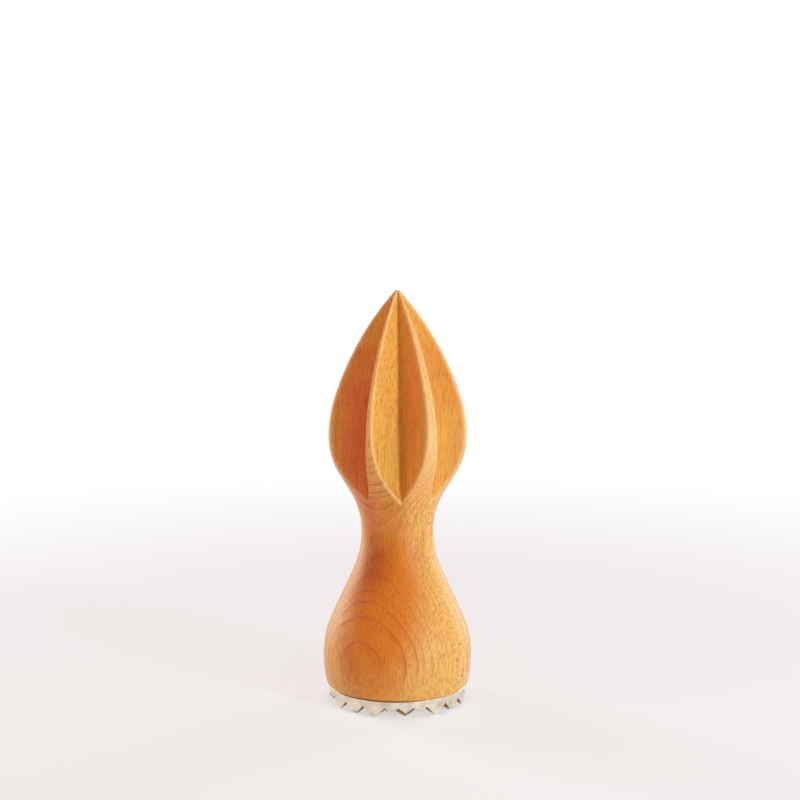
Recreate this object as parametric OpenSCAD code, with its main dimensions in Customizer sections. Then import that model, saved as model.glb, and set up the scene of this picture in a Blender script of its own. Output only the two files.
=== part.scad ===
// Wooden citrus reamer: one turned and fluted piece of beech, with a toothed metal
// muddling plate under its bell, held by a hidden hanger bolt.
// Millimetres, +Z up. The origin is on the axis, in the plane of the tooth tips.

/* [Bell] */
// Radius of the bell at its fullest level
bell_r = 25.35; // [22:0.05:28]
// Height of the fullest level above the foot of the wood
bell_foot_h = 10.1; // [7:0.1:14]
// How far the foot of the wood is drawn in from the fullest level
foot_inset = 1.5; // [0.5:0.1:3]
// Bevel round the edge of the foot
foot_bevel = 0.4; // [0.1:0.1:1]
// Radius of curvature of the bell's shoulder
bell_shoulder_r = 30.5; // [24:0.5:34]
// Straight stretch of the flank between the bell and the neck
bell_flank = 17.5; // [8:0.5:24]

/* [Neck] */
// Radius of the neck at its narrowest level
neck_r = 12.3; // [10:0.1:14]
// Height of the narrowest level above the fullest level of the bell
neck_h = 41.7; // [36:0.1:50]

/* [Reamer head] */
// Radius of the head at its fullest level
head_r = 23.95; // [21:0.05:27]
// Height of the fullest level above the neck
head_h = 33.4; // [28:0.1:40]
// Radius of curvature of the head just under its fullest level
head_under_r = 25.7; // [18:0.1:28]
// Straight stretch of the flank between the neck and the head
head_flank = 7; // [2:0.5:12]
// Height of the point above the fullest level of the head
point_h = 49.3; // [42:0.1:58]
// Half of the angle that the point closes at, in degrees
point_half_angle = 42; // [38:0.5:50]
// Length of the lower arc's tangent, as a share of the upper arc's
point_arc_share = 0.32; // [0.2:0.01:0.6]
// Radius of the rounded tip
tip_r = 1.4; // [1:0.1:2.5]

/* [Flutes] */
// Number of flutes round the head
flute_count = 7; // [5:1:9]
// Turn of the first flute about the axis, in degrees
flute_turn = -86.5; // [-180:0.5:180]
// How far each flute stands off its even place, in degrees, from the first one round
flute_shift = [1.9, -3.8, -1.4, 0, 0.8, -2.6, 6]; // [-8:0.1:8]
// Included angle of the V of a flute, in degrees
flute_angle = 84; // [70:1:100]
// How far each flute's V leans, in degrees, from the first one round
flute_lean = [-6, 8, 1, -1, 0.5, 1, -11]; // [-12:0.5:12]
// Radius left under a flute at its deepest level
flute_core_r = 12.9; // [11.5:0.1:15]
// Radius left under a flute beside the tip
flute_tip_r = 0.5; // [0.3:0.1:2]
// Depth of the deepest level below the fullest level of the head
flute_deep_h = 13.6; // [8:0.1:17]
// Radius of the curve on which a flute runs out below its deepest level
run_out_r = 21; // [18:0.5:32]

/* [Toothed plate] */
// How far the plate's upper edge stands inside the foot of the wood
plate_step = 0.3; // [0.1:0.1:1]
// How far the plate's rim draws in from its upper edge to the tooth tips
plate_draft = 0.6; // [0.2:0.1:1.5]
// Bevel round the plate's upper edge
plate_bevel = 0.25; // [0.1:0.05:0.6]
// Thickness of the plate above the grooves between its teeth
plate_web = 2.2; // [1.5:0.1:5]
// Distance between neighbouring rows of teeth
tooth_pitch = 7.25; // [5:0.05:10]
// Width of the small flat on each tooth
tooth_flat = 0.6; // [0.3:0.1:1.5]
// Included angle of the grooves between the teeth, in degrees
tooth_angle = 90; // [70:1:110]
// Turn of the rows of teeth about the axis, in degrees
tooth_turn = 52.1; // [0:0.1:90]

/* [Boss and socket] */
// Radius of the boss on the plate's back
boss_r = 7; // [5.5:0.1:9]
// Height of the boss
boss_h = 7; // [5:0.1:10]
// Bevel round the top of the boss
boss_bevel = 0.6; // [0.3:0.1:1.2]
// Gap for glue round the boss
glue_gap = 0.15; // [0.05:0.05:0.4]
// Gap for glue between the boss and the floor of its socket
socket_relief = 0.5; // [0.2:0.1:1.5]

/* [Hanger bolt] */
// Outer radius of the bolt's metric thread
bolt_r = 3; // [2.5:0.1:4]
// Pitch of the metric thread
bolt_pitch = 1; // [0.7:0.05:1.25]
// Depth of the bevel at the mouth of the thread in the boss
lead_in = 0.6; // [0.3:0.1:1]
// Outer radius of the bolt's wood thread
screw_r = 3; // [2.6:0.1:4]
// Depth of the wood thread
screw_depth = 0.8; // [0.4:0.05:1.1]
// Pitch of the wood thread
screw_pitch = 2.4; // [1.8:0.1:3]
// Turns of the wood thread
screw_turns = 7; // [4:1:10]
// Length of the plain shank between the two threads
shank_h = 2; // [1:0.5:6]
// Length of the bolt's pointed end
bolt_point_h = 3.5; // [2:0.5:6]
// Radius of the blunt tip of that end
bolt_tip_r = 0.3; // [0.2:0.1:0.6]
// Depth of the hexagonal key socket in the bolt's metric end
key_depth = 2.5; // [1:0.5:4]
// Width of that key socket across its flats
key_flats = 2.5; // [2:0.5:3]
// Gap between the bolt and the threads cut for it
thread_gap = 0.05; // [0.02:0.01:0.15]
// Space left beyond each end of the bolt
bolt_end_gap = 0.8; // [0.3:0.1:1.2]

/* [Hidden] */
$fn = 96;

BEECH = [0.87, 0.62, 0.34];
PALE_METAL = [0.84, 0.80, 0.71];
STEEL = [0.62, 0.63, 0.65];

// Cutting tools reach this far past what they cut
over = 1;
// Neighbouring arcs and lines cross by this much, so that each join is a clean crossing
cross = 0.003;

// Shares of a thread's pitch: the flat at its root, the flat at each thread's crest, and
// the depth of the metric thread
root_flat = 0.16;
metric_crest = 0.15;
wood_crest = 0.08;
metric_depth = 0.61;

tooth_h = (tooth_pitch - tooth_flat) / 2 / tan(tooth_angle / 2);
plate_h = tooth_h + plate_web;
foot_r = bell_r - foot_inset;
plate_top_r = foot_r - plate_step;
plate_tip_r = plate_top_r - plate_draft;

bell_z = plate_h + bell_foot_h;
neck_z = bell_z + neck_h;
head_z = neck_z + head_h;
tip_z = head_z + point_h;

// The flutes' valleys run along one arc in a plane through the axis
flute_deep_z = head_z - flute_deep_h;
flute_rise = tip_z - flute_deep_z;
flute_path_r = (flute_rise * flute_rise / (flute_core_r - flute_tip_r) + flute_core_r - flute_tip_r) / 2;
flute_reach = head_r - flute_core_r + 2 * over;
// Turn of the run-out, in degrees, by which its valley has left the wood
run_out_turn = 45;

// The boss holds as many whole turns of the metric thread as its height takes
boss_top_z = plate_h + boss_h;
bolt_turns = floor(boss_h / bolt_pitch);
bolt_z = boss_top_z - bolt_turns * bolt_pitch;
bolt_core_r = bolt_r - metric_depth * bolt_pitch;
shank_z = boss_top_z;
screw_z = shank_z + shank_h;
screw_core_r = screw_r - screw_depth;
screw_top_z = screw_z + screw_turns * screw_pitch;

// A length rounded to a thousandth, so that two curves drawn from it meet exactly
function fine(v) = round(v * 1000) / 1000;

// Upper arc's tangent length on a curve of two arcs from a vertical start to a point that
// lies at chord from it, where the curve has turned by angle; share is lower over upper
function upper_tangent(chord, angle, share) =
    let (run = [-sin(angle), cos(angle) + share],
         bend = 2 * share * (1 - cos(angle)),
         along = chord * run)
    (sqrt(along * along + bend * (chord * chord)) - along) / bend;

// Side of a thread from z = 0 up, as [radius, height] points; the flats are shares of a pitch
function thread_side(core, crest, pitch, turns, crest_flat) = [
    for (i = [0:turns - 1],
         p = [
             [core, root_flat / 2],
             [crest, 0.5 - crest_flat / 2],
             [crest, 0.5 + crest_flat / 2],
             [core, 1 - root_flat / 2]
         ])
        [p[0], (i + p[1]) * pitch]
];

// Half of a turned outline between a wide level at y = 0 and a narrow one at y = height:
// an arc bulging out, a straight stretch and an arc hollowed in, each tangent to the next
module flank(wide, narrow, height, bulge_r, straight) {
    turn = 2 * atan((wide - narrow) / (height + straight));
    hollow_r = fine((height - straight * cos(turn)) / sin(turn) - bulge_r);
    leave = [wide - bulge_r * (1 - cos(turn)), bulge_r * sin(turn)];
    meet = [narrow + hollow_r * (1 - cos(turn)), height - hollow_r * sin(turn)];
    line_low = leave - [cross, 0];
    line_top = meet + [cross, 0];
    line_foot = line_low - (line_top - line_low) * leave[1] / (meet[1] - leave[1]);
    difference() {
        union() {
            intersection() {
                polygon([[0, 0], line_foot, line_top, [0, meet[1]]]);
                union() {
                    translate([wide - bulge_r, 0])
                        circle(bulge_r);
                    translate([0, leave[1]])
                        square([2 * wide, height]);
                }
            }
            translate([0, meet[1]])
                square([wide, height - meet[1]]);
        }
        translate([narrow + hollow_r, height])
            circle(hollow_r);
    }
}

// Outline of the foot, from its lower edge up to the bell's fullest level
module foot_outline() {
    arc_r = fine((bell_foot_h * bell_foot_h / foot_inset + foot_inset) / 2);
    intersection() {
        translate([bell_r - arc_r, bell_z])
            circle(arc_r);
        polygon([
            [0, plate_h],
            [foot_r - foot_bevel, plate_h],
            [foot_r + over, plate_h + foot_bevel + over],
            [bell_r + over, bell_z],
            [0, bell_z]
        ]);
    }
}

// Outline of the head from its fullest level to the rounded tip: two arcs and the tip's own
module point_outline() {
    a = point_half_angle;
    start = [head_r, head_z];
    end = [tip_r * cos(a), tip_z - tip_r + tip_r * sin(a)];
    upper = upper_tangent(end - start, a, point_arc_share);
    lower = upper * point_arc_share;
    corner_low = start + [0, lower];
    corner_high = end + [sin(a), -cos(a)] * upper;
    join = (corner_low * upper + corner_high * lower) / (lower + upper);
    turn = atan2(corner_low[0] - corner_high[0], corner_high[1] - corner_low[1]);
    low_r = fine(lower / tan(turn / 2));
    high_r = upper / tan((a - turn) / 2);
    intersection() {
        translate(end - [cos(a), sin(a)] * high_r)
            circle(high_r - cross);
        union() {
            translate([head_r - low_r, head_z])
                circle(low_r);
            translate([0, join[1]])
                square([2 * head_r, point_h]);
        }
        union() {
            translate([0, head_z])
                square([2 * head_r, end[1] - head_z]);
            translate([0, tip_z - tip_r])
                circle(tip_r);
        }
        translate([0, head_z])
            square([2 * head_r, point_h + over]);
    }
}

module turned_blank() {
    rotate_extrude() {
        foot_outline();
        translate([0, bell_z])
            flank(bell_r, neck_r, neck_h, bell_shoulder_r, bell_flank);
        translate([0, head_z])
            mirror([0, 1])
                flank(head_r, neck_r, head_h, head_under_r, head_flank);
        point_outline();
    }
}

// One V-shaped cut in the plane of +X and Z, leaning towards +Y: its valley runs up an arc
// to the tip, and down from the deepest level along a tighter one that bends out to the
// surface
module flute_cut(lean) {
    rise_angle = asin((flute_rise + over) / flute_path_r);
    far_side = flute_reach * tan(flute_angle / 2 + lean);
    near_side = flute_reach * tan(flute_angle / 2 - lean);
    translate([flute_core_r, 0, flute_deep_z])
        rotate([90, 0, 0]) {
            translate([-flute_path_r, 0])
                rotate_extrude(angle = rise_angle)
                    polygon([
                        [flute_path_r, 0],
                        [flute_path_r + flute_reach, near_side],
                        [flute_path_r + flute_reach, -far_side]
                    ]);
            translate([run_out_r, 0])
                rotate([0, 0, 180])
                    rotate_extrude(angle = run_out_turn)
                        polygon([
                            [run_out_r, 0],
                            [run_out_r - flute_reach, near_side],
                            [run_out_r - flute_reach, -far_side]
                        ]);
        }
}

// Room for the boss, seen from the foot of the wood
module boss_socket() {
    translate([0, 0, plate_h - over])
        cylinder(r = boss_r + glue_gap, h = boss_h + socket_relief + over);
}

// The turned blank with its first flutes cut, one after another, each a little off the
// even pattern, as by hand
module fluted_blank(flutes) {
    if (flutes == 0)
        turned_blank();
    else {
        last = flutes - 1;
        shift = flute_shift[last % len(flute_shift)];
        difference() {
            fluted_blank(last);
            rotate([0, 0, flute_turn + last * 360 / flute_count + shift])
                flute_cut(flute_lean[last % len(flute_lean)]);
        }
    }
}

module wooden_body() {
    color(BEECH)
        difference() {
            fluted_blank(flute_count);
            boss_socket();
            bolt_hole_in_wood();
        }
}

// Straight V-shaped cuts side by side, all along +Y, that leave rows of teeth between them
module tooth_grooves() {
    rows = ceil(plate_top_r / tooth_pitch);
    half = tooth_pitch / 2 - tooth_flat / 2;
    spread = over * tan(tooth_angle / 2);
    for (i = [-rows:rows - 1])
        translate([(i + 0.5) * tooth_pitch, plate_top_r + over, 0])
            rotate([90, 0, 0])
                linear_extrude(2 * (plate_top_r + over))
                    polygon([[-half - spread, -over], [half + spread, -over], [0, tooth_h]]);
}

module toothed_plate() {
    color(PALE_METAL)
        difference() {
            rotate_extrude()
                polygon([
                    [0, 0],
                    [plate_tip_r, 0],
                    [plate_top_r, plate_h - plate_bevel],
                    [plate_top_r - plate_bevel, plate_h],
                    [boss_r, plate_h],
                    [boss_r, boss_top_z - boss_bevel],
                    [boss_r - boss_bevel, boss_top_z],
                    [0, boss_top_z]
                ]);
            for (side = [0, 90])
                rotate([0, 0, tooth_turn + side])
                    tooth_grooves();
            bolt_hole_in_plate();
        }
}

// Outline of the metric thread, widened by gap and open to a plain hole at its foot
module metric_outline(gap, foot) {
    polygon([
        [0, bolt_z - foot],
        [bolt_core_r + gap, bolt_z - foot],
        for (p = thread_side(bolt_core_r + gap, bolt_r + gap, bolt_pitch, bolt_turns, metric_crest))
            p + [0, bolt_z],
        [bolt_core_r + gap, shank_z],
        [0, shank_z]
    ]);
}

// Outline of the shank, the wood thread and the point, widened by gap
module screw_outline(gap) {
    polygon([
        [0, shank_z],
        [bolt_core_r + gap, shank_z],
        [bolt_core_r + gap, screw_z],
        [screw_core_r + gap, screw_z],
        for (p = thread_side(screw_core_r + gap, screw_r + gap, screw_pitch, screw_turns, wood_crest))
            p + [0, screw_z],
        [screw_core_r + gap, screw_top_z],
        [bolt_tip_r, screw_top_z + bolt_point_h],
        [0, screw_top_z + bolt_point_h]
    ]);
}

module bolt_hole_in_plate() {
    rotate_extrude()
        metric_outline(thread_gap, bolt_end_gap);
    translate([0, 0, boss_top_z - lead_in])
        cylinder(h = 2 * lead_in, r1 = bolt_core_r + thread_gap, r2 = bolt_core_r + thread_gap + 2 * lead_in);
}

module bolt_hole_in_wood() {
    rotate_extrude()
        screw_outline(thread_gap);
    translate([0, 0, screw_top_z])
        cylinder(r = screw_core_r + thread_gap, h = bolt_point_h + bolt_end_gap);
}

module hanger_bolt() {
    color(STEEL)
        difference() {
            rotate_extrude() {
                metric_outline(0, 0);
                screw_outline(0);
            }
            translate([0, 0, bolt_z - over])
                cylinder(r = key_flats / sqrt(3), h = key_depth + over, $fn = 6);
        }
}

wooden_body();
toothed_plate();
hanger_bolt();
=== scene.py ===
# Looks of the wooden citrus reamer: the turned and fluted beech, the toothed metal plate
# and the hidden bolt, with the floor, the light and the camera.
# Lengths are in millimetres, apart from those of the floor, the lamps and the camera, which
# are in metres.
import math

import bpy
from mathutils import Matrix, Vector


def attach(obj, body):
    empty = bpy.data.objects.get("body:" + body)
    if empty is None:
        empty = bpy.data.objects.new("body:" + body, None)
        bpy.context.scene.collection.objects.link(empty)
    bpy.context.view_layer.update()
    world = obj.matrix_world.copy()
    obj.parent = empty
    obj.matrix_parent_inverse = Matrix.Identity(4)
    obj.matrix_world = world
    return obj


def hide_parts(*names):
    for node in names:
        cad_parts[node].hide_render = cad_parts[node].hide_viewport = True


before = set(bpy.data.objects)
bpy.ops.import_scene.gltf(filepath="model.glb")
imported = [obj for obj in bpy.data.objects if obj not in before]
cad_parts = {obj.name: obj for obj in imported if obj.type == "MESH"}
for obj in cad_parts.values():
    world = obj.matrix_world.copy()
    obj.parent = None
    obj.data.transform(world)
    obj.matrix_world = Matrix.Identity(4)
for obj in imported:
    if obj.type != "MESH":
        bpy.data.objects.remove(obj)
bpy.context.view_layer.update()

MM = 0.001

# The turned outline, with the same sizes as the CAD
PLATE_H = 5.525
BELL_R = 25.35
BELL_FOOT_H = 10.1
FOOT_INSET = 1.5
FOOT_BEVEL = 0.4
BELL_SHOULDER_R = 30.5
BELL_FLANK = 17.5
NECK_R = 12.3
NECK_H = 41.7
HEAD_R = 23.95
HEAD_H = 33.4
HEAD_UNDER_R = 25.7
HEAD_FLANK = 7.0
POINT_H = 49.3
POINT_HALF_ANGLE = math.radians(42)
POINT_ARC_SHARE = 0.32
TIP_R = 1.4

BELL_Z = PLATE_H + BELL_FOOT_H
NECK_Z = BELL_Z + NECK_H
HEAD_Z = NECK_Z + HEAD_H
TIP_Z = HEAD_Z + POINT_H

# The socket and the screw hole under the wood, with the same sizes as the CAD
SOCKET_R = 7.15
SOCKET_TOP_Z = 13.025
SCREW_HOLE_R = 3.05
SCREW_HOLE_TOP_Z = 31.325
PILOT_HOLE_R = 2.25
PILOT_HOLE_TOP_Z = 35.625

# The flutes' common path: an arc up to the tip and an arc that runs out below, of which this
# share is used
FLUTE_CORE_R = 12.9
FLUTE_TIP_R = 0.5
FLUTE_DEEP_UNDER_HEAD = 13.6
FLUTE_DEEP_Z = HEAD_Z - FLUTE_DEEP_UNDER_HEAD
RUN_OUT_R = 21.0
RUN_OUT_SHARE = 0.98
FLUTE_RISE = TIP_Z - FLUTE_DEEP_Z
FLUTE_PATH_R = (FLUTE_RISE ** 2 / (FLUTE_CORE_R - FLUTE_TIP_R) + FLUTE_CORE_R - FLUTE_TIP_R) / 2

# The flutes in turn, as in the CAD: the first one's direction from the front, how far each
# stands off its even place, the angle of each V and how far it leans, all in degrees
FLUTE_FRONT = 3.5
FLUTE_SHIFT = (1.9, -3.8, -1.4, 0, 0.8, -2.6, 6)
FLUTE_ANGLE = 84
FLUTE_LEAN = (-6, 8, 1, -1, 0.5, 1, -11)

# Names of the surface's own marks for where a flute has cut it and for its worn edges
CUT_ATTRIBUTE = "flute_wall"
WEAR_ATTRIBUTE = "worn_edge"

# Softening of the edges that the flutes cut, at most and as a share of the radius, and of
# their valleys
EDGE_SOFT = 0.9
EDGE_SOFT_SHARE = 0.038
VALLEY_SOFT = 0.012
# Depth over which the mark of a cut comes in, and the share of it at which it starts
CUT_DEPTH = 0.8
CUT_START = 0.5
# How far from an edge, measured outward, its wear reaches
WEAR_REACH = 1.1

# Radius given where a flute's wall is never met, and the least divisor with which it still is
NO_WALL_R = 1e4
NO_WALL_FALL = 1e-4

# Vertices across each wall of a flute and each half of a land, and the step between rows
WALL_COLUMNS = 15
LAND_COLUMNS = 7
ROW_STEP = 0.6
FIRST_ROW_STEP = 0.15
# The rows under the tip's ball: how far they reach down and how many there are; and the rows
# on the ball
POINT_ROWS_H = 1.0
POINT_ROWS = 5
TIP_ROWS = 9
# The narrowest mouth that columns are made for where a flute is shallow or absent
SMALLEST_MOUTH = math.radians(4)
# Rings of vertices on the flat foot, this far inside its rim
FOOT_RING_STEPS = (4.0, 0.3)
# The lowest rings of vertices, from the screw hole's end to the foot's rim, are kept crisp
SHARP_RINGS = 10


def arc_bulge(distance, radius):
    """How far an arc has fallen away from its tangent at a distance along that tangent."""
    return radius - math.sqrt(max(radius * radius - distance * distance, 0.0))


def flank_radius(height, wide, narrow, full, bulge_r, straight):
    """Radius between a wide level and a narrow one: arc, straight stretch and arc."""
    turn = 2 * math.atan((wide - narrow) / (full + straight))
    hollow_r = (full - straight * math.cos(turn)) / math.sin(turn) - bulge_r
    leave = bulge_r * math.sin(turn)
    meet = full - hollow_r * math.sin(turn)
    if height <= leave:
        return wide - arc_bulge(height, bulge_r)
    if height >= meet:
        return narrow + arc_bulge(full - height, hollow_r)
    return wide - arc_bulge(leave, bulge_r) - (height - leave) * math.tan(turn)


def foot_radius(z):
    """Radius from the bevelled foot of the wood up to the bell's fullest level."""
    arc_r = (BELL_FOOT_H ** 2 / FOOT_INSET + FOOT_INSET) / 2
    round_r = BELL_R - arc_bulge(BELL_Z - z, arc_r)
    bevel_r = BELL_R - FOOT_INSET - FOOT_BEVEL + (z - PLATE_H)
    return min(round_r, bevel_r)


def point_arcs():
    """Two arcs from the head's fullest level to the tip: their radii, centres and join."""
    a = POINT_HALF_ANGLE
    start = Vector((HEAD_R, HEAD_Z))
    end = Vector((TIP_R * math.cos(a), TIP_Z - TIP_R + TIP_R * math.sin(a)))
    chord = end - start
    share = POINT_ARC_SHARE
    bend = 2 * share * (1 - math.cos(a))
    along = chord.dot(Vector((-math.sin(a), math.cos(a) + share)))
    upper = (math.sqrt(along * along + bend * chord.dot(chord)) - along) / bend
    lower = upper * share
    low_corner = start + Vector((0, lower))
    high_corner = end + Vector((math.sin(a), -math.cos(a))) * upper
    join = (low_corner * upper + high_corner * lower) / (lower + upper)
    turn = math.atan2(low_corner.x - high_corner.x, high_corner.y - low_corner.y)
    low_r = lower / math.tan(turn / 2)
    high_r = upper / math.tan((a - turn) / 2)
    high_centre = end - Vector((math.cos(a), math.sin(a))) * high_r
    return low_r, high_r, high_centre, join.y, end.y


LOW_ARC_R, HIGH_ARC_R, HIGH_ARC_CENTRE, ARC_JOIN_Z, TIP_BALL_Z = point_arcs()


def point_radius(z):
    """Radius of the head above its fullest level."""
    if z <= ARC_JOIN_Z:
        return HEAD_R - arc_bulge(z - HEAD_Z, LOW_ARC_R)
    if z <= TIP_BALL_Z:
        rise = z - HIGH_ARC_CENTRE.y
        return HIGH_ARC_CENTRE.x + math.sqrt(HIGH_ARC_R ** 2 - rise * rise)
    rise = z - (TIP_Z - TIP_R)
    return math.sqrt(max(TIP_R ** 2 - rise * rise, 0.0))


def turned_radius(z):
    """Radius of the turned blank at a level."""
    if z <= BELL_Z:
        return foot_radius(z)
    if z <= NECK_Z:
        return flank_radius(z - BELL_Z, BELL_R, NECK_R, NECK_H, BELL_SHOULDER_R, BELL_FLANK)
    if z <= HEAD_Z:
        return flank_radius(HEAD_Z - z, HEAD_R, NECK_R, HEAD_H, HEAD_UNDER_R, HEAD_FLANK)
    return point_radius(z)


def each_flute():
    """Each flute's direction and the angles of its left and right walls to its middle."""
    flutes = []
    for turn, (shift, lean) in enumerate(zip(FLUTE_SHIFT, FLUTE_LEAN)):
        azimuth = FLUTE_FRONT + turn * 360 / len(FLUTE_SHIFT) + shift
        flutes.append((azimuth, FLUTE_ANGLE / 2 - lean, FLUTE_ANGLE / 2 + lean))
    return flutes


FLUTES = each_flute()


def valley(z):
    """Radius of a flute's valley at a level, and the cosine of its lean there."""
    if z >= FLUTE_DEEP_Z:
        away = z - FLUTE_DEEP_Z
        return FLUTE_CORE_R - arc_bulge(away, FLUTE_PATH_R), math.cos(math.asin(away / FLUTE_PATH_R))
    away = min(FLUTE_DEEP_Z - z, RUN_OUT_R * RUN_OUT_SHARE)
    return FLUTE_CORE_R + arc_bulge(away, RUN_OUT_R), math.cos(math.asin(away / RUN_OUT_R))


def mouth_angle(z, lean):
    """Angle about the axis between a flute's valley and the edge of its mouth."""
    radius = turned_radius(z)
    depth_r, upright = valley(z)
    if depth_r >= radius or radius <= 0:
        return 0.0
    slope = math.tan(lean) * upright
    reach = depth_r * slope / (radius * math.hypot(slope, 1))
    return math.acos(reach) - math.atan2(1, slope)


def wall_radius(z, angle, lean):
    """Radius of a flute's wall at an angle from its valley."""
    depth_r, upright = valley(z)
    slope = math.tan(lean) * upright
    turned = math.sqrt(angle * angle + VALLEY_SOFT ** 2) - VALLEY_SOFT
    fall = slope * math.cos(turned) - math.sin(turned)
    if fall <= NO_WALL_FALL:
        return NO_WALL_R
    return depth_r * slope / fall


def softened(blank_r, cut_r):
    """The lower of two radii, with the edge between them rounded."""
    soft = min(EDGE_SOFT, EDGE_SOFT_SHARE * blank_r)
    share = min(max(0.5 + 0.5 * (cut_r - blank_r) / soft, 0.0), 1.0)
    return cut_r + (blank_r - cut_r) * share - soft * share * (1 - share)


def surface_point(z, angle, lean):
    """Radius of the fluted wood at an angle from the nearest flute's valley, and how far from
    0 to 1 a flute has cut it and its edge has worn there."""
    blank_r = turned_radius(z)
    depth_r, _ = valley(z)
    if blank_r - depth_r < -EDGE_SOFT:
        return blank_r, 0.0, 0.0
    wall_r = wall_radius(z, angle, lean)
    radius = max(softened(blank_r, wall_r), 0.0)
    cut = min(max((blank_r - radius) / CUT_DEPTH - CUT_START, 0.0), 1.0)
    wear = max(1.0 - abs(wall_r - blank_r) / WEAR_REACH, 0.0)
    return radius, cut, wear


def spread(count, lowest, highest):
    """Numbers from lowest to highest, closer together near both."""
    span = highest - lowest
    return [lowest + span * (1 - math.cos(math.pi * i / count)) / 2 for i in range(count + 1)]


def wall_levels():
    """Levels of the rows of vertices up the outside, closer together at the tip and foot."""
    levels = [PLATE_H, PLATE_H + FOOT_BEVEL / 2, PLATE_H + FOOT_BEVEL]
    low = TIP_BALL_Z - POINT_ROWS_H
    z = levels[-1] + FIRST_ROW_STEP
    while z < low:
        levels.append(z)
        z += ROW_STEP
    levels += [low + (TIP_BALL_Z - low) * i / POINT_ROWS for i in range(POINT_ROWS)]
    ball = TIP_Z - TIP_R
    first = math.asin((TIP_BALL_Z - ball) / TIP_R)
    for i in range(TIP_ROWS):
        turn = first + (math.pi / 2 - first) * i / TIP_ROWS
        levels.append(ball + TIP_R * math.sin(turn))
    return levels


def columns(z):
    """Directions round the axis at a level, each with its angle from a valley and its wall."""
    result = []
    for i, (azimuth, _, right) in enumerate(FLUTES):
        following, next_left, _ = FLUTES[(i + 1) % len(FLUTES)]
        start = math.radians(azimuth)
        gap = math.radians((following - azimuth) % 360)
        lean, next_lean = math.radians(right), math.radians(next_left)
        near = max(mouth_angle(z, lean), SMALLEST_MOUTH)
        far = gap - max(mouth_angle(z, next_lean), SMALLEST_MOUTH)
        middle = (near + far) / 2
        for a in spread(WALL_COLUMNS, 0.0, near)[:-1]:
            result.append((start + a, a, lean))
        for a in spread(LAND_COLUMNS * 2, near, far)[:-1]:
            side = (a, lean) if a <= middle else (gap - a, next_lean)
            result.append((start + a, *side))
        for a in spread(WALL_COLUMNS, far, gap)[:-1]:
            result.append((start + a, gap - a, next_lean))
    return result


def direction(azimuth):
    """Unit vector at an azimuth from the front, positive towards the picture's right."""
    return Vector((math.sin(azimuth), -math.cos(azimuth)))


def wooden_rings():
    """Closed rings of vertices from the bottom of the screw hole, round the foot, to the tip,
    and for each vertex how far a flute has cut it and how worn it is."""
    base = columns(PLATE_H)
    foot = turned_radius(PLATE_H)
    inside = (
        (PILOT_HOLE_R, PILOT_HOLE_TOP_Z),
        (PILOT_HOLE_R, SCREW_HOLE_TOP_Z),
        (SCREW_HOLE_R, SCREW_HOLE_TOP_Z),
        (SCREW_HOLE_R, SOCKET_TOP_Z),
        (SOCKET_R, SOCKET_TOP_Z),
        (SOCKET_R, PLATE_H),
        *((foot - step, PLATE_H) for step in FOOT_RING_STEPS),
    )
    rings = []
    for radius, z in inside:
        rings.append([(direction(a) * radius, z) for a, _, _ in base])
    cuts = [0.0] * (len(base) * len(inside))
    wears = list(cuts)
    for z in wall_levels():
        ring = []
        for azimuth, angle, lean in columns(z):
            radius, cut, wear = surface_point(z, angle, lean)
            ring.append((direction(azimuth) * radius, z))
            cuts.append(cut)
            wears.append(wear)
        rings.append(ring)
    return rings, cuts, wears


def ring_faces(around, count):
    """Faces between neighbouring rings, then fans to the screw hole's end and to the tip."""
    following = [(i + 1) % around for i in range(around)]
    top = (count - 1) * around
    faces = []
    for low in range(0, top, around):
        high = low + around
        for i, j in enumerate(following):
            faces.append((low + i, low + j, high + j, high + i))
    hole_end = count * around
    tip = hole_end + 1
    for i, j in enumerate(following):
        faces.append((j, i, hole_end))
        faces.append((top + i, top + j, tip))
    return faces


def placed(name, data):
    """A new object in the scene."""
    thing = bpy.data.objects.new(name, data)
    bpy.context.scene.collection.objects.link(thing)
    return thing


def make_wood():
    """The wooden body as one closed mesh."""
    rings, cuts, wears = wooden_rings()
    around, count = len(rings[0]), len(rings)
    vertices = [(p.x * MM, p.y * MM, z * MM) for ring in rings for p, z in ring]
    vertices += [(0, 0, PILOT_HOLE_TOP_Z * MM), (0, 0, TIP_Z * MM)]
    mesh = bpy.data.meshes.new("beech_body")
    mesh.from_pydata(vertices, [], ring_faces(around, count))
    mesh.validate()
    mesh.shade_smooth()
    for name, values in ((CUT_ATTRIBUTE, cuts), (WEAR_ATTRIBUTE, wears)):
        mark = mesh.attributes.new(name, "FLOAT", "POINT")
        mark.data.foreach_set("value", values + [0.0, 0.0])
    wood = placed("beech_body", mesh)
    mark_sharp_rings(mesh, around, count)
    return wood


def mark_sharp_rings(mesh, around, count):
    """Keeps the corners of the socket, the screw hole and the foot crisp."""
    attribute = mesh.attributes.new("sharp_edge", "BOOLEAN", "EDGE")
    for edge in mesh.edges:
        first, second = edge.vertices
        if max(first, second) >= around * count:
            continue
        ring = first // around
        if ring == second // around and ring < SHARP_RINGS:
            attribute.data[edge.index].value = True


# The Mix node's colours, by the numbers of its sockets
MIX_FIRST = 6
MIX_SECOND = 7
MIX_RESULT = 2


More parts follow.
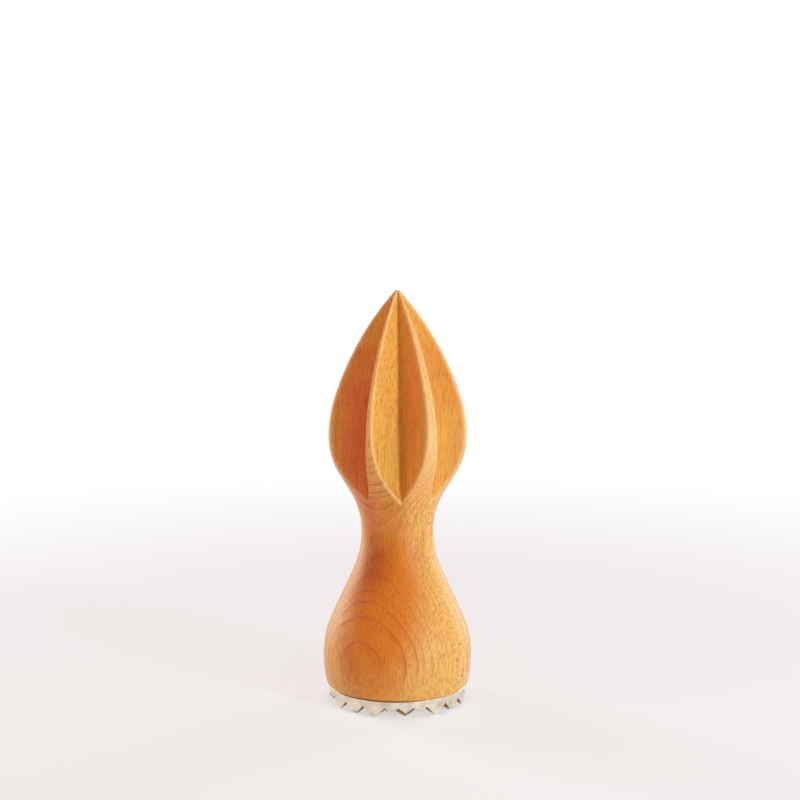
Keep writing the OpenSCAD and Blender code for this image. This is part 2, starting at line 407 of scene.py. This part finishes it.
class Nodes:
    """Short names for building the nodes of a material or of the world."""

    def __init__(self, owner, shader, output):
        owner.use_nodes = True
        self.tree = owner.node_tree
        self.shader = self.tree.nodes[shader]
        self.surface = self.tree.nodes[output].inputs["Surface"]

    def add(self, kind, inputs=None, **settings):
        """A node with its settings and its inputs, each a value or another node's output."""
        node = self.tree.nodes.new(kind)
        for key, value in settings.items():
            setattr(node, key, value)
        for key, value in (inputs or {}).items():
            self.put(node.inputs[key], value)
        return node

    def put(self, socket, value):
        """Links an output to a socket, or writes a plain value there."""
        if isinstance(value, bpy.types.NodeSocket):
            self.tree.links.new(value, socket)
        else:
            socket.default_value = value

    def shade(self, name, value):
        """Gives the shader a value or another node's output."""
        self.put(self.shader.inputs[name], value)

    def math(self, operation, first, second=0.0):
        """One step of arithmetic."""
        return self.add("ShaderNodeMath", {0: first, 1: second}, operation=operation).outputs[0]

    def plus(self, first, second):
        """The sum of two numbers."""
        return self.math("ADD", first, second)

    def minus(self, first, second):
        """The difference of two numbers."""
        return self.math("SUBTRACT", first, second)

    def times(self, first, second):
        """The product of two numbers."""
        return self.math("MULTIPLY", first, second)

    def vector(self, operation, first, second=(0, 0, 0)):
        """One step of arithmetic on vectors."""
        node = self.add("ShaderNodeVectorMath", {0: first, 1: second}, operation=operation)
        return node.outputs["Value" if operation in ("LENGTH", "DOT_PRODUCT") else "Vector"]

    def combine(self, x, y, z):
        """A vector of three numbers."""
        return self.add("ShaderNodeCombineXYZ", {0: x, 1: y, 2: z}).outputs[0]

    def split(self, vector):
        """The three numbers of a vector."""
        return self.add("ShaderNodeSeparateXYZ", {0: vector}).outputs

    def smooth(self, value, low, high, start=0.0, end=1.0):
        """A soft step of a value between two limits."""
        sockets = {"Value": value, "From Min": low, "From Max": high, "To Min": start, "To Max": end}
        node = self.add("ShaderNodeMapRange", sockets, interpolation_type="SMOOTHSTEP")
        return node.outputs["Result"]

    def noise(self, vector, scale, detail=3.0, roughness=0.5):
        """Fractal noise between 0 and 1."""
        sockets = {"Vector": vector, "Scale": scale, "Detail": detail, "Roughness": roughness}
        return self.add("ShaderNodeTexNoise", sockets).outputs["Fac"]

    def mix(self, share, first, second, blend="MIX"):
        """A blend of two colours."""
        sockets = {"Factor": share, MIX_FIRST: first, MIX_SECOND: second}
        node = self.add("ShaderNodeMix", sockets, data_type="RGBA", blend_type=blend)
        return node.outputs[MIX_RESULT]

    def mark(self, name):
        """One of the surface's own marks."""
        return self.add("ShaderNodeAttribute", attribute_name=name).outputs["Fac"]

    def millimetres(self):
        """The place on the object, in millimetres."""
        place = self.add("ShaderNodeTexCoord").outputs["Object"]
        node = self.add("ShaderNodeVectorMath", {0: place, "Scale": 1 / MM}, operation="SCALE")
        return node.outputs["Vector"]

    def relief(self, sockets):
        """Gives the shader a fine relief."""
        self.shade("Normal", self.add("ShaderNodeBump", sockets).outputs[0])

    def seen(self):
        """1 for rays from the camera and for mirrored and refracted ones, otherwise 0."""
        path = self.add("ShaderNodeLightPath").outputs
        indirect = self.math("MAXIMUM", path["Is Glossy Ray"], path["Is Transmission Ray"])
        return self.math("MAXIMUM", path["Is Camera Ray"], indirect)

    def cover(self, share, other):
        """Shows another shader in place of the first, by a share."""
        sockets = {0: share, 1: self.shader.outputs[0], 2: other.outputs[0]}
        self.put(self.surface, self.add("ShaderNodeMixShader", sockets).outputs[0])


def new_material(name):
    """A new material and its nodes."""
    material = bpy.data.materials.new(name)
    return material, Nodes(material, "Principled BSDF", "Material Output")


def srgb(red, green, blue):
    """A colour given as it shows on a screen, 0 to 255, made linear by the standard curve."""
    def linear(value):
        value /= 255
        return value / 12.92 if value <= 0.04045 else ((value + 0.055) / 1.055) ** 2.4
    return linear(red), linear(green), linear(blue), 1.0


# The rings of growth lie round a distant pith. Their outward direction and how far it points
# upward, the distance from the pith to where a ring just touches the bell, and that place
RING_AZIMUTH = math.radians(-30)
RING_TILT = math.radians(3)
RING_PITH_DISTANCE = 89.0
RING_TOUCH_R = 25.3
RING_TOUCH_Z = 17.1
# Depths under that place at which rings end, the depth above it at which the first one
# starts, and the range that they share
RING_DEPTHS = (
    0.85, 3.7, 5.6, 6.8, 9.0, 10.6, 12.1, 13.5, 15.3, 17.0, 18.6, 20.2,
    24.6, 28.1, 32.3, 35.4, 39.7, 43.2, 47.0, 51.5,
)
RING_LEAD = 0.15
RING_RANGE = 52.5

WOOD_LIGHT = srgb(242, 201, 110)
WOOD_DEEP = srgb(222, 136, 36)
WOOD_RED = srgb(214, 112, 40)
WOOD_LATE = srgb(196, 80, 26)
WOOD_FLECK = srgb(158, 62, 22)
# A pale tone for the worn edges and for the painted highlight on the lands
WOOD_WEAR_AND_HIGHLIGHT = srgb(252, 218, 160)
# The timber is deeper in tone in a broad cloud on the bell: its middle and its half sizes
# outward, sideways and along the grain; elsewhere it has this share of the deep tone
DEEP_MIDDLE = (-5.0, 5.0, 20.0)
DEEP_HALF = (20.0, 15.5, 36.0)
DEEP_SHARE = 0.12
DEEP_RIM = (0.7, 1.6)
# How fine and how strong the raggedness of the clouds' rims is, and where their rims lie
CLOUD_FINENESS = 0.12
CLOUD_RAGGED = 0.5
CLOUD_RIM = (0.4, 1.35)
# Clouds of painted shade, each with its middle, its half sizes and its tint: darker and redder
# ones at the waist, where it is partly the timber's own darker patch, in the left flute, in the
# centre flute's right and left walls and in the right flute's top and middle, and one of painted
# highlight, paler, on the right of the bell and the neck
SHADE_AND_HIGHLIGHT_CLOUDS = (
    ((-12.0, -1.0, 30.0), (9.0, 9.0, 15.0), (0.74, 0.55, 0.50, 1.0)),
    ((-9.0, -6.0, 74.0), (12.0, 11.5, 42.0), (0.94, 0.54, 0.98, 1.0)),
    ((-13.5, 13.0, 78.0), (6.5, 6.5, 38.0), (1.12, 0.82, 1.14, 1.0)),
    ((-8.6, 6.2, 60.0), (9.0, 5.0, 45.0), (0.86, 0.88, 0.86, 1.0)),
    ((-24.8, 15.0, 98.0), (9.0, 9.0, 26.0), (0.92, 0.76, 0.64, 1.0)),
    ((-30.0, 20.0, 64.0), (9.0, 10.0, 34.0), (0.88, 0.82, 0.78, 1.0)),
    ((-34.0, 24.0, 14.0), (12.0, 12.0, 44.0), (1.0, 1.12, 1.55, 1.0)),
)
# How strongly the flecks of rays show on the turned surface and on the flutes' walls
FLECK_SHARES = (0.62, 0.44)
# Tint of the flutes' walls, which are cut across the grain and take up more oil
OILED_CUT = (1.0, 0.86, 0.56, 1.0)
# Painted shadow in the joint of wood and plate, a dark line strongest on the shaded left: its
# tint on the wood, how far it reaches up the wood and down the plate, between which places it
# fades from left to right, and what is left
JOINT_SHADOW_TINT = (0.42, 0.30, 0.24, 1.0)
FOOT_LINE_H = 0.5
RIM_LINE_H = 0.35
JOINT_FADE = (-2.0, 12.0)
JOINT_LEAST = 0.1
# How the rings wander: how much slower along the grain than across it, and the fineness and
# the size in mm of a slow sway and of a ripple
RING_STRETCH = 0.35
RING_SWAY = (0.09, 0.9)
RING_RIPPLE = (0.5, 0.3)
# Ring ends fade between the first two depths to this share, and show again between the next
# two depths and between two levels above the waist
RING_FADE = (5.0, 9.0)
RING_FAINT = 0.45
RING_RETURN = (20.0, 24.0)
RING_RETURN_SHARE = 0.8
RING_HEAD = (42.0, 52.0)
RING_HEAD_SHARES = (0.15, 0.9)
# They are fainter in patches, on the flutes' walls, towards the foot between two levels, and
# towards the head's point
RING_PATCH_FINENESS = 0.16
RING_PATCHES = (0.36, 0.58, 0.45, 1.0)
RING_CUT_LOSS = 0.55
RING_FOOT = (9.0, 19.0)
RING_FOOT_SHARE = 0.4
RING_POINT = (74.0, 90.0)
RING_POINT_SHARE = 0.35
# Where in a ring its late wood and its dark end come in, and how strongly they show
LATE_WAVE = (0.30, 0.99)
END_WAVE = (0.78, 0.98)
LATE_SHARE = 0.30
RING_END_SHARE = 0.60
# Spindles of rays: their grid's steps across the rings' run, along the grain and outward,
# half their thickness and length, all in mm, and what sets each kind's pattern apart
SMALL_RAYS = {
    "across": 0.52, "tall": 2.6, "deep": 1.2,
    "half_thick": 0.062, "half_tall": 1.15, "seed": 3.1,
}
LARGE_RAYS = {
    "across": 1.2, "tall": 4.2, "deep": 1.5,
    "half_thick": 0.080, "half_tall": 1.7, "seed": 7.7,
}
LARGE_RAY_SHARE = 0.7
# How the rays' patterns are shifted, how far in mm and how slowly they bend, and how uneven
# their grid is
RAY_SEED_STEPS = (1.7, 2.3)
RAY_BEND = 0.8
RAY_BEND_FINENESS = 0.05
RAY_SCATTER = 0.9
# Their shape: how slim they are outward, where they fade out in shares of their half sizes,
# and how their strength varies
RAY_DEEP_SLIMNESS = 1.4
RAY_RIM = (0.55, 1.15)
RAY_STRENGTHS = (0.1, 0.6, 0.35, 1.0)
# Streaks and fine fibres: their width and length in mm, where they turn dark, and how much
STREAK_SIZE = (0.45, 14.0)
STREAK_RANGE = (0.42, 0.70)
STREAK_SHARE = 0.40
FINE_SIZE = (0.14, 3.5)
FINE_RANGE = (0.45, 0.72)
FINE_SHARE = 0.34
FIBRE_DETAIL = 4.0
FIBRE_ROUGHNESS = 0.6
# The lands between the flutes get a painted highlight above these levels, by these shares at
# the left and at the right, between these places
PALE_LANDS = (66.0, 84.0)
PALE_LAND_SHARES = (0.0, 0.34)
PALE_LAND_SIDES = (-8.0, 4.0)
# How the streaks vary the wear of the edges, and how strongly it shows
WEAR_STREAKS = (0.30, 0.60, 1.0, 0.7)
WEAR_SHARE = 0.5
# The wood's roughness, what fine fibres, a flute's cut and flecks add to it, how strongly it
# mirrors, and its soft sheen
WOOD_ROUGH = 0.42
WOOD_ROUGH_FINE = 0.16
WOOD_ROUGH_CUT = 0.08
WOOD_ROUGH_FLECK = 0.08
WOOD_IOR = 1.33
SHEEN_WEIGHT = 0.9
SHEEN_ROUGHNESS = 0.25
SHEEN_TINT = (1.0, 0.98, 0.95, 1.0)
# Relief of the fine fibres and the flecks
PORE_HEIGHT = 0.6
FLECK_DEPTH = 0.5
WOOD_BUMP = {"Strength": 0.25, "Distance": 0.06 * MM}


def ring_frame():
    """Unit vectors: outward across the rings, along them sideways, and along the grain."""
    flat = direction(RING_AZIMUTH)
    level_part = math.cos(RING_TILT)
    outward = Vector((flat.x * level_part, flat.y * level_part, math.sin(RING_TILT)))
    sideways = Vector((-flat.y, flat.x, 0))
    grain = outward.cross(sideways)
    if grain.z < 0:
        grain = -grain
    return outward, sideways, grain


def grain_place(n):
    """The place in the wood's own frame: outward, sideways and along the grain, in mm."""
    flat = direction(RING_AZIMUTH)
    touch = Vector((flat.x * RING_TOUCH_R, flat.y * RING_TOUCH_R, RING_TOUCH_Z))
    local = n.vector("SUBTRACT", n.millimetres(), tuple(touch))
    return [n.vector("DOT_PRODUCT", local, tuple(axis)) for axis in ring_frame()]


def wander(n, place, fineness, size, detail=2.0):
    """A slow random shift to both sides of zero, in mm."""
    return n.times(n.minus(n.noise(place, fineness, detail), 0.5), size)


def ring_depth(n, parts, place):
    """How far a place lies under the rings' nearest approach, along a ring's radius."""
    out, side, _ = parts
    shift = n.plus(wander(n, place, *RING_SWAY), wander(n, place, *RING_RIPPLE))
    from_pith = n.plus(out, RING_PITH_DISTANCE)
    squares = n.plus(n.math("POWER", from_pith, 2.0), n.math("POWER", side, 2.0))
    return n.plus(n.minus(RING_PITH_DISTANCE, n.math("SQRT", squares)), shift)


def ring_wave(n, depth):
    """How far a place lies through its ring of growth, from 0 to 1."""
    scaled = n.math("DIVIDE", n.plus(depth, RING_LEAD), RING_RANGE)
    curve = n.add("ShaderNodeFloatCurve", {"Value": scaled})
    count = len(RING_DEPTHS)
    points = curve.mapping.curves[0].points
    points[0].location = (0.0, 0.0)
    points[1].location = (1.0, 1.0)
    for i, d in enumerate(RING_DEPTHS):
        points.new((d + RING_LEAD) / RING_RANGE, (i + 1) / (count + 1))
    for point in points:
        point.handle_type = "VECTOR"
    curve.mapping.update()
    return n.math("FRACT", n.times(curve.outputs[0], count + 1.0))


def ring_strength(n, depth, along, place, cut, level):
    """How strongly the rings show at a place, from 0 to 1."""
    fading = n.smooth(depth, *RING_FADE, 1.0, RING_FAINT)
    returning = n.smooth(depth, *RING_RETURN, RING_FAINT, RING_RETURN_SHARE)
    faint = n.math("MAXIMUM", fading, returning)
    faint = n.math("MAXIMUM", faint, n.smooth(along, *RING_HEAD, *RING_HEAD_SHARES))
    patchy = n.noise(place, RING_PATCH_FINENESS, 2.0)
    faint = n.times(faint, n.smooth(patchy, *RING_PATCHES))
    faint = n.times(faint, n.minus(1.0, n.times(cut, RING_CUT_LOSS)))
    faint = n.times(faint, n.smooth(level, *RING_FOOT, RING_FOOT_SHARE, 1.0))
    return n.times(faint, n.smooth(level, *RING_POINT, 1.0, RING_POINT_SHARE))


def ring_tones(n, parts, cut, level):
    """How much of the late wood's tone and of the dark ring ends a place has."""
    out, side, along = parts
    place = n.combine(out, side, n.times(along, RING_STRETCH))
    depth = ring_depth(n, parts, place)
    wave = ring_wave(n, depth)
    shown = ring_strength(n, depth, along, place, cut, level)
    return n.times(n.smooth(wave, *LATE_WAVE), shown), n.times(n.smooth(wave, *END_WAVE), shown)


def rays(n, parts, across, tall, deep, half_thick, half_tall, seed):
    """Spindles of ray tissue, one in most cells of a stretched grid."""
    out, side, along = parts
    slow = n.combine(0.0, 0.0, n.times(along, RAY_BEND_FINENESS))
    bent = n.plus(side, wander(n, slow, 1.0, RAY_BEND, 1.0))
    cell_place = n.combine(
        n.plus(n.math("DIVIDE", out, deep), seed),
        n.plus(n.math("DIVIDE", bent, across), seed * RAY_SEED_STEPS[0]),
        n.plus(n.math("DIVIDE", along, tall), seed * RAY_SEED_STEPS[1]),
    )
    cell_inputs = {"Vector": cell_place, "Scale": 1.0, "Randomness": RAY_SCATTER}
    cell = n.add("ShaderNodeTexVoronoi", cell_inputs)
    away = n.vector("SUBTRACT", cell_place, cell.outputs["Position"])
    slimness = (RAY_DEEP_SLIMNESS, across / half_thick, tall / half_tall)
    distance = n.vector("LENGTH", n.vector("MULTIPLY", away, slimness))
    strength = n.add("ShaderNodeSeparateColor", {0: cell.outputs["Color"]}).outputs[0]
    return n.times(n.smooth(distance, *RAY_RIM, 1.0, 0.0), n.smooth(strength, *RAY_STRENGTHS))


def flecks_of_rays(n, parts):
    """Small and large spindles together."""
    small = rays(n, parts, **SMALL_RAYS)
    large = rays(n, parts, **LARGE_RAYS)
    return n.math("MAXIMUM", small, n.times(large, LARGE_RAY_SHARE))


def fibres(n, parts, across, length):
    """Streaks along the grain, between 0 and 1."""
    out, side, along = parts
    place = n.combine(
        n.math("DIVIDE", out, across),
        n.math("DIVIDE", side, across),
        n.math("DIVIDE", along, length),
    )
    return n.noise(place, 1.0, FIBRE_DETAIL, FIBRE_ROUGHNESS)


def cloud(n, parts, middle, half, rim):
    """Share of a cloud: 1 inside and 0 outside the rim, two shares of its half sizes."""
    away = [n.math("DIVIDE", n.minus(p, m), h) for p, m, h in zip(parts, middle, half)]
    ragged = n.times(n.noise(n.millimetres(), CLOUD_FINENESS), CLOUD_RAGGED)
    return n.smooth(n.plus(n.vector("LENGTH", n.combine(*away)), ragged), *rim, 1.0, 0.0)


def joint_shadow_share(n, across):
    """How much painted shadow the joint of wood and plate has, more at the left than at the right.
    """
    return n.smooth(across, *JOINT_FADE, 1.0, JOINT_LEAST)


def timber_tone_with_painted_light(n, parts, ring_shares, streak, fine, flecks, cut):
    """Colour of the timber, with clouds of painted shade and of a painted highlight over it."""
    late, ring_end = ring_shares
    deep = n.math("MAXIMUM", cloud(n, parts, DEEP_MIDDLE, DEEP_HALF, DEEP_RIM), DEEP_SHARE)
    tone = n.mix(deep, WOOD_LIGHT, WOOD_DEEP)
    tone = n.mix(n.times(late, LATE_SHARE), tone, WOOD_RED)
    tone = n.mix(n.times(ring_end, RING_END_SHARE), tone, WOOD_LATE)
    tone = n.mix(n.times(n.smooth(streak, *STREAK_RANGE), STREAK_SHARE), tone, WOOD_LATE)
    tone = n.mix(n.times(n.smooth(fine, *FINE_RANGE), FINE_SHARE), tone, WOOD_FLECK)
    fleck_share = n.smooth(cut, 0.0, 1.0, *FLECK_SHARES)
    tone = n.mix(n.times(flecks, fleck_share), tone, WOOD_FLECK)
    # Clouds of painted shade, and one of painted highlight, over the timber's colour
    for middle, half, tint in SHADE_AND_HIGHLIGHT_CLOUDS:
        tone = n.mix(cloud(n, parts, middle, half, CLOUD_RIM), tone, tint, "MULTIPLY")
    return tone


def tone_with_wear_and_painted_light(n, tone, streak, cut, place):
    """The timber's colour with the painted shadow in the joint, the oil, the painted highlight on
    the lands and the wear of its surface.
    """
    across, _, level = n.split(place)
    # Painted shadow in the joint with the plate, strongest at the left
    foot = n.smooth(level, PLATE_H + FOOT_LINE_H / 3, PLATE_H + FOOT_LINE_H, 1.0, 0.0)
    tone = n.mix(n.times(foot, joint_shadow_share(n, across)), tone, JOINT_SHADOW_TINT, "MULTIPLY")
    tone = n.mix(cut, tone, OILED_CUT, "MULTIPLY")
    # Painted highlight on the lands, growing towards the right
    land = n.times(n.smooth(level, *PALE_LANDS), n.minus(1.0, cut))
    pale = n.smooth(across, *PALE_LAND_SIDES, *PALE_LAND_SHARES)
    tone = n.mix(n.times(land, pale), tone, WOOD_WEAR_AND_HIGHLIGHT)
    wear = n.times(n.mark(WEAR_ATTRIBUTE), n.smooth(streak, *WEAR_STREAKS))
    return n.mix(n.times(wear, WEAR_SHARE), tone, WOOD_WEAR_AND_HIGHLIGHT)


def beech_material():
    """Oiled beech: rings of growth, flecks of rays, fibre streaks and fine pores."""
    material, n = new_material("oiled_beech")
    parts = grain_place(n)
    place = n.millimetres()
    cut = n.mark(CUT_ATTRIBUTE)
    streak = fibres(n, parts, *STREAK_SIZE)
    fine = fibres(n, parts, *FINE_SIZE)
    flecks = flecks_of_rays(n, parts)
    ring_shares = ring_tones(n, parts, cut, n.split(place)[2])
    tone = timber_tone_with_painted_light(n, parts, ring_shares, streak, fine, flecks, cut)
    n.shade("Base Color", tone_with_wear_and_painted_light(n, tone, streak, cut, place))
    rough = n.plus(n.times(fine, WOOD_ROUGH_FINE), WOOD_ROUGH)
    rough = n.plus(rough, n.times(cut, WOOD_ROUGH_CUT))
    n.shade("Roughness", n.plus(rough, n.times(flecks, WOOD_ROUGH_FLECK)))
    n.shade("IOR", WOOD_IOR)
    n.shade("Sheen Weight", SHEEN_WEIGHT)
    n.shade("Sheen Roughness", SHEEN_ROUGHNESS)
    n.shade("Sheen Tint", SHEEN_TINT)
    height = n.minus(n.times(fine, PORE_HEIGHT), n.times(flecks, FLECK_DEPTH))
    n.relief({"Height": height, **WOOD_BUMP})
    return material


METAL_MAIN = srgb(234, 224, 206)
METAL_DARK = srgb(208, 195, 174)
# Brown for the painted shade on the flanks and the painted shadow line on the rim
METAL_SHADE = srgb(140, 108, 78)
# The metal's cloudiness and its grain, each with fineness per mm, detail and roughness, and
# between which values of the cloudiness it turns dark
METAL_MOTTLE = (0.35, 4.0, 0.5)
METAL_GRAIN = (6.0, 3.0, 0.7)
MOTTLE_RANGE = (0.35, 0.75)
# Its pits: their fineness, their rim, how much darker and rougher they are and their depth
PIT_FINENESS = 1.6
PIT_RIM = (0.05, 0.16)
PIT_DARK = 0.5
PIT_ROUGH = 0.2
PIT_DEPTH = 1.2
# A downward flank in a groove gets painted shade where the upward part of its normal is under
# the first value, and none at all over the second; how the cloudiness varies the painted
# shade's colour, and how much rougher these flanks are
GROOVE_LEAN = (-0.55, -0.25)
GROOVE_CLOUDS = (0.2, 0.6, 0.6, 1.0)
GROOVE_ROUGH = 0.25
# The painted shade on the flanks is weakest below the first level and full above the second
TOOTH_BRIGHT = (0.2, 1.6)
TOOTH_LEAST_SHADE = 0.25
# Strength of the painted shadow line on the plate's rim, in its joint with the wood
RIM_SHADOW = 0.85
# The metal's roughness, what the grain adds to it, the rounding of its edges in the shading,
# and its relief
METAL_ROUGH = 0.30
METAL_ROUGH_GRAIN = 0.20
METAL_EDGE_R = 0.16 * MM
METAL_EDGE_SAMPLES = 6
METAL_BUMP = {"Strength": 0.35, "Distance": 0.08 * MM}


def flank_shade_share(n, level):
    """How much painted shade a place gets on a downward flank between the teeth."""
    upward = n.split(n.add("ShaderNodeNewGeometry").outputs["Normal"])[2]
    flank_shade = n.smooth(upward, *GROOVE_LEAN, 1.0, 0.0)
    return n.times(flank_shade, n.smooth(level, *TOOTH_BRIGHT, TOOTH_LEAST_SHADE, 1.0))


def cast_metal_material():
    """Satin cast metal with a fine grain, small pits, softly rounded edges and rougher flanks in
    the grooves under it, with painted shade on them and a painted shadow line on its rim."""
    material, n = new_material("satin_cast_metal")
    place = n.millimetres()
    across, _, level = n.split(place)
    mottle = n.noise(place, *METAL_MOTTLE)
    grain = n.noise(place, *METAL_GRAIN)
    pit_inputs = {"Vector": place, "Scale": PIT_FINENESS, "Randomness": 1.0}
    pit_cell = n.add("ShaderNodeTexVoronoi", pit_inputs)
    pits = n.smooth(pit_cell.outputs["Distance"], *PIT_RIM, 1.0, 0.0)
    flank_shade = flank_shade_share(n, level)
    tone = n.mix(n.smooth(mottle, *MOTTLE_RANGE), METAL_MAIN, METAL_DARK)
    tone = n.mix(n.times(pits, PIT_DARK), tone, METAL_DARK)
    # Painted shade on the downward flanks, standing for their dark reflections
    tone = n.mix(n.times(flank_shade, n.smooth(mottle, *GROOVE_CLOUDS)), tone, METAL_SHADE)
    # Painted shadow line on the rim, in the joint with the wood, strongest at the left
    rim = n.smooth(level, PLATE_H - RIM_LINE_H, PLATE_H - RIM_LINE_H / 2, 0.0, RIM_SHADOW)
    tone = n.mix(n.times(rim, joint_shadow_share(n, across)), tone, METAL_SHADE)
    n.shade("Base Color", tone)
    n.shade("Metallic", 1.0)
    rough = n.plus(n.times(grain, METAL_ROUGH_GRAIN), METAL_ROUGH)
    rough = n.plus(rough, n.times(flank_shade, GROOVE_ROUGH))
    n.shade("Roughness", n.plus(rough, n.times(pits, PIT_ROUGH)))
    height = n.minus(grain, n.times(pits, PIT_DEPTH))
    edges = n.add("ShaderNodeBevel", {"Radius": METAL_EDGE_R}, samples=METAL_EDGE_SAMPLES)
    n.relief({"Height": height, "Normal": edges.outputs[0], **METAL_BUMP})
    return material


# Steel: its colours and clouds, and the turned lines round it
STEEL_MAIN = srgb(196, 198, 202)
STEEL_DARK = srgb(158, 160, 166)
STEEL_CLOUD_FINENESS = 0.8
STEEL_CLOUDS = (0.3, 0.7)
STEEL_LINE_FINENESS = 9.0
STEEL_ROUGH = 0.22
STEEL_ROUGH_LINES = 0.25
STEEL_BUMP = {"Strength": 0.2, "Distance": 0.05 * MM}


def steel_material():
    """Zinc-plated steel of the hidden bolt, with fine turned lines."""
    material, n = new_material("plated_steel")
    place = n.millimetres()
    lines = n.noise(n.combine(0.0, 0.0, n.split(place)[2]), STEEL_LINE_FINENESS)
    clouds = n.noise(place, STEEL_CLOUD_FINENESS)
    n.shade("Base Color", n.mix(n.smooth(clouds, *STEEL_CLOUDS), STEEL_MAIN, STEEL_DARK))
    n.shade("Metallic", 1.0)
    n.shade("Roughness", n.plus(n.times(lines, STEEL_ROUGH_LINES), STEEL_ROUGH))
    n.relief({"Height": lines, **STEEL_BUMP})
    return material


def dress(node_name, material):
    """Gives a CAD node its material."""
    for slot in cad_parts[node_name].material_slots:
        slot.material = material


WHITE = (1.0, 1.0, 1.0, 1.0)
FLOOR_SIZE = 8.0
FLOOR_COLOUR = (0.82, 0.82, 0.82, 1.0)
FLOOR_ROUGHNESS = 0.9
# The floor turns into plain white between these distances from the tool, and is white by
# this share already beside it
FLOOR_NEAR = 0.15
FLOOR_FAR = 0.65
FLOOR_WHITE_SHARE = 0.6


def make_floor():
    """A plain pale floor under the tooth tips."""
    half = FLOOR_SIZE / 2
    corners = [(-half, -half, 0), (half, -half, 0), (half, half, 0), (-half, half, 0)]
    mesh = bpy.data.meshes.new("floor")
    mesh.from_pydata(corners, [], [(0, 1, 2, 3)])
    floor = placed("floor", mesh)
    mesh.materials.append(floor_material())


def floor_material():
    """Pale and matt with the tool's shadow beside it, and plain white far off."""
    material, n = new_material("pale_floor")
    n.shade("Base Color", FLOOR_COLOUR)
    n.shade("Roughness", FLOOR_ROUGHNESS)
    place = n.add("ShaderNodeTexCoord").outputs["Object"]
    away = n.smooth(n.vector("LENGTH", place), FLOOR_NEAR, FLOOR_FAR, FLOOR_WHITE_SHARE, 1.0)
    white = n.add("ShaderNodeEmission", {"Color": WHITE, "Strength": 1.0})
    n.cover(n.times(n.seen(), away), white)
    return material


WORLD_DIM = srgb(255, 146, 122)
WORLD_DIM_STRENGTH = 0.32


def make_world():
    """Plain white where the camera or a reflection sees it, and a dim warm fill otherwise."""
    world = bpy.data.worlds.new("studio")
    bpy.context.scene.world = world
    n = Nodes(world, "Background", "World Output")
    n.shade("Color", WORLD_DIM)
    n.shade("Strength", WORLD_DIM_STRENGTH)
    white = n.add("ShaderNodeBackground", {"Color": WHITE, "Strength": 1.0})
    n.cover(n.seen(), white)


LAMP_TARGET = Vector((0, 0, 0.075))
COOL = (0.80, 0.96, 1.0)
WARM = (1.0, 0.76, 0.68)
# A soft low key from the right, a top light, a weak fill from the left and strips behind both
# sides: azimuth and height in degrees, distance, width and height in metres, power, colour.
# All but the fill are a little cool, so that with the warm world they add up to white
LAMPS = {
    "key": (48, 6, 0.6, 0.10, 0.14, 2.4, COOL),
    "top": (0, 80, 0.8, 0.4, 0.4, 1.9, COOL),
    "left_fill": (-70, 4, 0.8, 0.5, 0.5, 1.7, WARM),
    "left_rim": (-128, 5, 0.9, 0.25, 0.8, 6.2, COOL),
    "right_rim": (135, 5, 0.9, 0.25, 0.8, 4.2, COOL),
}


def make_lamp(name, azimuth, height, distance, width, tall, power, colour):
    """A rectangular soft lamp at an azimuth and a height in degrees, aimed at the tool."""
    lamp = bpy.data.lights.new(name, "AREA")
    lamp.shape = "RECTANGLE"
    lamp.size = width
    lamp.size_y = tall
    lamp.energy = power
    lamp.color = colour
    holder = placed(name, lamp)
    flat = direction(math.radians(azimuth)) * math.cos(math.radians(height))
    towards = Vector((flat.x, flat.y, math.sin(math.radians(height))))
    holder.visible_camera = False
    holder.location = LAMP_TARGET + towards * distance
    holder.rotation_euler = towards.to_track_quat("Z", "Y").to_euler()


def make_lamps():
    """All the lamps."""
    for name, settings in LAMPS.items():
        make_lamp(name, *settings)


# The camera stands level, and the frame is shifted so that the tool sits as photographed: its
# place in metres, its lens in mm, and the horizon's height above the picture's centre in pixels
CAMERA_PLACE = (0.0009, -0.4128, 0.1259)
CAMERA_LENS = 54.0
CAMERA_SENSOR = 36.0
PICTURE_SIZE = 800
HORIZON_ABOVE_CENTRE = 69


def make_camera():
    """The camera at the photograph's place."""
    lens = bpy.data.cameras.new("camera")
    lens.lens = CAMERA_LENS
    lens.sensor_width = CAMERA_SENSOR
    lens.shift_y = -HORIZON_ABOVE_CENTRE / PICTURE_SIZE
    camera = placed("camera", lens)
    camera.location = CAMERA_PLACE
    camera.rotation_euler = (math.pi / 2, 0, 0)
    bpy.context.scene.camera = camera


wood = make_wood()
wood.data.materials.append(beech_material())
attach(wood, "root")
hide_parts("wooden_body")
dress("toothed_plate", cast_metal_material())
dress("hanger_bolt", steel_material())

make_floor()
make_world()
make_lamps()
make_camera()
bpy.context.scene.view_settings.view_transform = "Standard"
